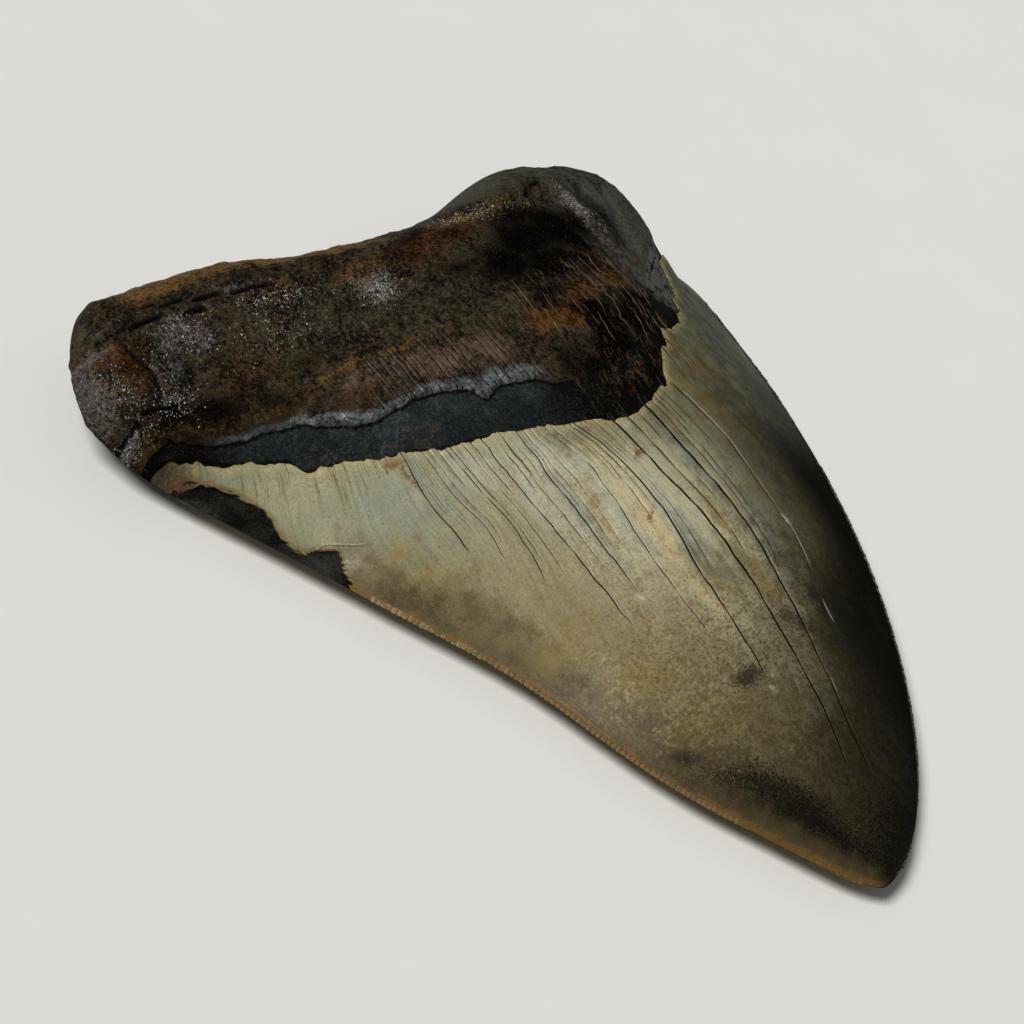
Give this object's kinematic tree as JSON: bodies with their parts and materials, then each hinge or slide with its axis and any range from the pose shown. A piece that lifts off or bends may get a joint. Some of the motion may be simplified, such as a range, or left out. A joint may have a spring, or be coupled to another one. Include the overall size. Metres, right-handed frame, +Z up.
{
  "type": "fossil shark tooth",
  "caption": "Large fossil shark tooth lying flat: curved serrated triangular crown, thick two-lobed root, chipped lower corner.",
  "frame": {"origin": "centre of the bounding box's base, on the surface the tooth lies on", "axes": "+Z up out of the convex lingual face; +Y from the crown tip towards the root; X across the crown, +X towards the strongly curved cutting edge"},
  "size_m": [0.1092, 0.1186, 0.0235],
  "materials": {
    "tooth": "satin cream-grey enamel over a rough dark brown mineralised root"
  },
  "bodies": {
    "root": {"tooth": "tooth"}
  },
  "joints": []
}
